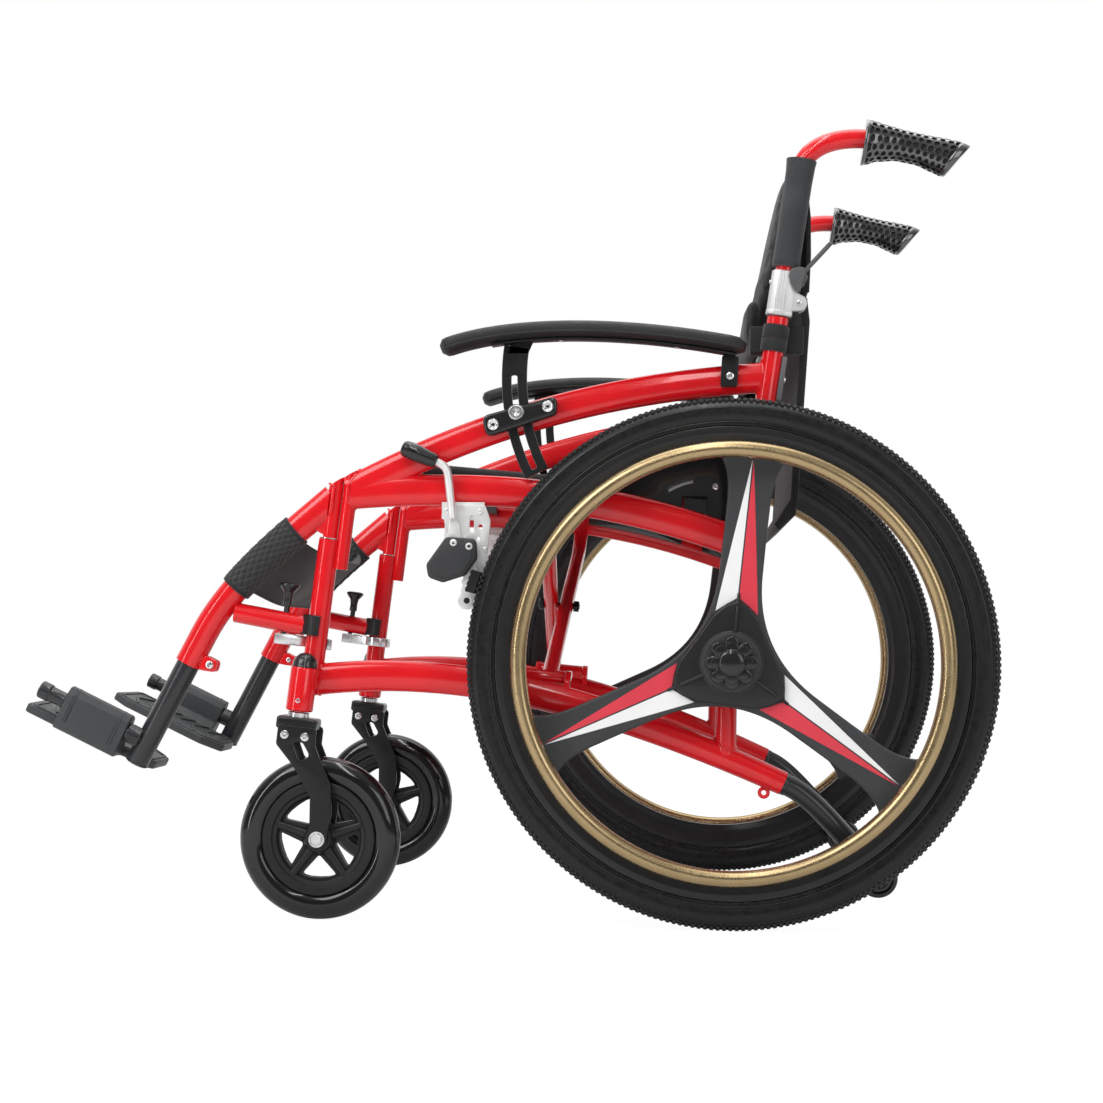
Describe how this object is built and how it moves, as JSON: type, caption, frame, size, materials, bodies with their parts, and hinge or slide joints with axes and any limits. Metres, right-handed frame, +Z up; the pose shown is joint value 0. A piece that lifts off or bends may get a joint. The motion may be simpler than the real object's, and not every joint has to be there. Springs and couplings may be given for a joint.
{
  "type": "folding wheelchair",
  "caption": "Folding wheelchair with spoked rear wheels, casters, swing-away footrests, adjustable armrests, a folding back and a cross brace.",
  "frame": {"origin": "centre of the bounding box on the ground", "axes": "the chair faces -Y, its left side is +X, and +Z is up"},
  "size_m": [0.6444, 1.1542, 0.9419],
  "materials": {
    "red_gloss_paint": "gloss",
    "black_satin_tube": "satin",
    "black_moulding": "fine texture",
    "black_rubber": "matte",
    "black_wheel": "satin",
    "bronze_anodised": "anodised",
    "silver_alloy": "satin",
    "black_cloth": "woven",
    "arm_pad_skin": "grained"
  },
  "bodies": {
    "frame_right": {"side_frame_right": "red_gloss_paint", "side_guard_right": "black_moulding", "axle_right": "silver_alloy", "anti_tip_tube_right": "black_satin_tube", "arm_clamp_right": "black_moulding", "brake_plate_right": "silver_alloy", "back_lower": "black_cloth"},
    "frame_left": {"side_frame_left": "red_gloss_paint", "side_guard_left": "black_moulding", "axle_left": "silver_alloy", "anti_tip_tube_left": "black_satin_tube", "arm_clamp_left": "black_moulding", "brake_plate_left": "silver_alloy"},
    "brace_a": {"cross_brace_a": "red_gloss_paint", "brace_bolt": "silver_alloy"},
    "brace_b": {"cross_brace_b": "red_gloss_paint"},
    "seat": {"seat_sling": "black_cloth"},
    "rear_wheel_left": {"wheel_left": "black_wheel", "tyre_left": "black_rubber", "hand_rim_left": "bronze_anodised", "hub_cap_left": "black_moulding"},
    "caster_fork_left": {"caster_fork_left": "black_satin_tube"},
    "caster_wheel_left": {"caster_wheel_left": "black_rubber"},
    "hanger_left": {"hanger_left": "red_gloss_paint", "calf_strap_left": "black_cloth"},
    "latch_left": {"hanger_latch_left": "silver_alloy", "latch_knob_left": "black_moulding"},
    "foot_tube_left": {"foot_tube_left": "black_satin_tube"},
    "footplate_left": {"footplate_left": "black_moulding"},
    "armrest_left": {"arm_bar_left": "black_satin_tube", "arm_pad_left": "arm_pad_skin"},
    "brake_lever_left": {"brake_lever_left": "silver_alloy"},
    "brake_shoe_left": {"brake_shoe_left": "silver_alloy"},
    "upper_back_left": {"back_tube_left": "red_gloss_paint", "back_hinge_left": "silver_alloy", "push_grip_left": "black_moulding"},
    "hinge_lever_left": {"hinge_lever_left": "black_moulding"},
    "anti_tip_wheel_left": {"anti_tip_wheel_left": "black_rubber"},
    "rear_wheel_right": {"wheel_right": "black_wheel", "tyre_right": "black_rubber", "hand_rim_right": "bronze_anodised", "hub_cap_right": "black_moulding"},
    "caster_fork_right": {"caster_fork_right": "black_satin_tube"},
    "caster_wheel_right": {"caster_wheel_right": "black_rubber"},
    "hanger_right": {"hanger_right": "red_gloss_paint", "calf_strap_right": "black_cloth"},
    "latch_right": {"hanger_latch_right": "silver_alloy", "latch_knob_right": "black_moulding"},
    "foot_tube_right": {"foot_tube_right": "black_satin_tube"},
    "footplate_right": {"footplate_right": "black_moulding"},
    "armrest_right": {"arm_bar_right": "black_satin_tube", "arm_pad_right": "arm_pad_skin"},
    "brake_lever_right": {"brake_lever_right": "silver_alloy"},
    "brake_shoe_right": {"brake_shoe_right": "silver_alloy"},
    "upper_back_right": {"back_tube_right": "red_gloss_paint", "back_hinge_right": "silver_alloy", "push_grip_right": "black_moulding", "back_upper": "black_cloth"},
    "hinge_lever_right": {"hinge_lever_right": "black_moulding"},
    "anti_tip_wheel_right": {"anti_tip_wheel_right": "black_rubber"}
  },
  "joints": [
    {"name": "fold", "type": "hinge", "parent": "frame_right", "child": "brace_a", "pos_m": [-0.203, 0.04757, 0.285], "axis": [0, -0.9962, 0.0872], "range_deg": [0, 42], "deforming": ["seat_sling", "calf_strap_left", "calf_strap_right", "back_lower", "back_upper"]},
    {"name": "brace_cross", "type": "hinge", "parent": "brace_a", "child": "brace_b", "pos_m": [0, 0.05539, 0.37436], "axis": [0, -0.9962, 0.0872], "range_deg": [-84, 0]},
    {"name": "frame_follow", "type": "hinge", "parent": "brace_b", "child": "frame_left", "pos_m": [0.203, 0.04757, 0.285], "axis": [0, -0.9962, 0.0872], "range_deg": [0, 42]},
    {"name": "seat_follow", "type": "hinge", "parent": "brace_b", "child": "seat", "pos_m": [-0.191, 0.06744, 0.51213], "axis": [0, -0.9962, 0.0872], "range_deg": [0, 42]},
    {"name": "wheel_spin_left", "type": "hinge", "parent": "frame_left", "child": "rear_wheel_left", "pos_m": [0.279, 0.27207, 0.305], "axis": [1, 0, 0], "continuous": true},
    {"name": "caster_swivel_left", "type": "hinge", "parent": "frame_left", "child": "caster_fork_left", "pos_m": [0.2555, -0.23143, 0.2695], "axis": [0, 0.1167, 0.9932], "continuous": true},
    {"name": "caster_spin_left", "type": "hinge", "parent": "caster_fork_left", "child": "caster_wheel_left", "pos_m": [0.2555, -0.20724, 0.095], "axis": [1, 0, 0], "continuous": true},
    {"name": "hanger_swing_left", "type": "hinge", "parent": "frame_left", "child": "hanger_left", "pos_m": [0.23, -0.2056, 0.447], "axis": [0, 0.1167, 0.9932], "range_deg": [0, 90]},
    {"name": "latch_press_left", "type": "slide", "parent": "hanger_left", "child": "latch_left", "axis": [0, -0.1167, -0.9932], "range_m": [0, 0.004], "stiffness_N_per_m": 600, "springref_m": -0.004},
    {"name": "foot_tube_slide_left", "type": "slide", "parent": "hanger_left", "child": "foot_tube_left", "axis": [0, -0.4571, -0.8894], "range_m": [-0.01, 0.035]},
    {"name": "footplate_flip_left", "type": "hinge", "parent": "foot_tube_left", "child": "footplate_left", "pos_m": [0.2355, -0.52091, 0.25049], "axis": [0, 0.9033, -0.4289], "range_deg": [0, 90]},
    {"name": "armrest_tilt_left", "type": "hinge", "parent": "frame_left", "child": "armrest_left", "pos_m": [0.23, 0.27047, 0.641], "axis": [1, 0, 0], "range_deg": [-14.5, 9.3]},
    {"name": "brake_release_left", "type": "hinge", "parent": "frame_left", "child": "brake_lever_left", "pos_m": [0.23, -0.05353, 0.4426], "axis": [-1, 0, 0], "range_deg": [0, 30]},
    {"name": "brake_shoe_swing_left", "type": "hinge", "parent": "frame_left", "child": "brake_shoe_left", "pos_m": [0.23, -0.03503, 0.4384], "axis": [-1, 0, 0], "range_deg": [0, 12]},
    {"name": "upper_back_fold_left", "type": "hinge", "parent": "frame_left", "child": "upper_back_left", "pos_m": [0.23, 0.35107, 0.7284], "axis": [-1, 0, 0], "range_deg": [0, 95]},
    {"name": "hinge_lever_pull_left", "type": "hinge", "parent": "upper_back_left", "child": "hinge_lever_left", "pos_m": [0.23, 0.35207, 0.753], "axis": [-1, 0, 0], "range_deg": [0, 20], "stiffness_Nm_per_rad": 0.4, "springref_deg": -14.32},
    {"name": "anti_tip_spin_left", "type": "hinge", "parent": "frame_left", "child": "anti_tip_wheel_left", "pos_m": [0.23, 0.44407, 0.056], "axis": [1, 0, 0], "continuous": true},
    {"name": "wheel_spin_right", "type": "hinge", "parent": "frame_right", "child": "rear_wheel_right", "pos_m": [-0.279, 0.27207, 0.305], "axis": [1, 0, 0], "continuous": true},
    {"name": "caster_swivel_right", "type": "hinge", "parent": "frame_right", "child": "caster_fork_right", "pos_m": [-0.2555, -0.23143, 0.2695], "axis": [0, 0.1167, 0.9932], "continuous": true},
    {"name": "caster_spin_right", "type": "hinge", "parent": "caster_fork_right", "child": "caster_wheel_right", "pos_m": [-0.2555, -0.20724, 0.095], "axis": [1, 0, 0], "continuous": true},
    {"name": "hanger_swing_right", "type": "hinge", "parent": "frame_right", "child": "hanger_right", "pos_m": [-0.23, -0.2056, 0.447], "axis": [0, -0.1167, -0.9932], "range_deg": [0, 90]},
    {"name": "latch_press_right", "type": "slide", "parent": "hanger_right", "child": "latch_right", "axis": [0, -0.1167, -0.9932], "range_m": [0, 0.004], "stiffness_N_per_m": 600, "springref_m": -0.004},
    {"name": "foot_tube_slide_right", "type": "slide", "parent": "hanger_right", "child": "foot_tube_right", "axis": [0, -0.4571, -0.8894], "range_m": [-0.01, 0.035]},
    {"name": "footplate_flip_right", "type": "hinge", "parent": "foot_tube_right", "child": "footplate_right", "pos_m": [-0.2355, -0.52091, 0.25049], "axis": [0, -0.9033, 0.4289], "range_deg": [0, 90]},
    {"name": "armrest_tilt_right", "type": "hinge", "parent": "frame_right", "child": "armrest_right", "pos_m": [-0.23, 0.27047, 0.641], "axis": [1, 0, 0], "range_deg": [-14.5, 9.3]},
    {"name": "brake_release_right", "type": "hinge", "parent": "frame_right", "child": "brake_lever_right", "pos_m": [-0.23, -0.05353, 0.4426], "axis": [-1, 0, 0], "range_deg": [0, 30]},
    {"name": "brake_shoe_swing_right", "type": "hinge", "parent": "frame_right", "child": "brake_shoe_right", "pos_m": [-0.23, -0.03503, 0.4384], "axis": [-1, 0, 0], "range_deg": [0, 12]},
    {"name": "upper_back_fold_right", "type": "hinge", "parent": "frame_right", "child": "upper_back_right", "pos_m": [-0.23, 0.35107, 0.7284], "axis": [-1, 0, 0], "range_deg": [0, 95]},
    {"name": "hinge_lever_pull_right", "type": "hinge", "parent": "upper_back_right", "child": "hinge_lever_right", "pos_m": [-0.23, 0.35207, 0.753], "axis": [-1, 0, 0], "range_deg": [0, 20], "stiffness_Nm_per_rad": 0.4, "springref_deg": -14.32},
    {"name": "anti_tip_spin_right", "type": "hinge", "parent": "frame_right", "child": "anti_tip_wheel_right", "pos_m": [-0.23, 0.44407, 0.056], "axis": [1, 0, 0], "continuous": true}
  ],
  "couplings": [
    {"joint": "brace_cross", "follows": "fold", "ratio": -2},
    {"joint": "frame_follow", "follows": "fold", "ratio": 1},
    {"joint": "seat_follow", "follows": "fold", "ratio": 1},
    {"joint": "brake_shoe_swing_left", "follows": "brake_release_left", "ratio": 0.4},
    {"joint": "brake_shoe_swing_right", "follows": "brake_release_right", "ratio": 0.4},
    {"joint": "upper_back_fold_left", "follows": "upper_back_fold_right", "ratio": 1}
  ]
}
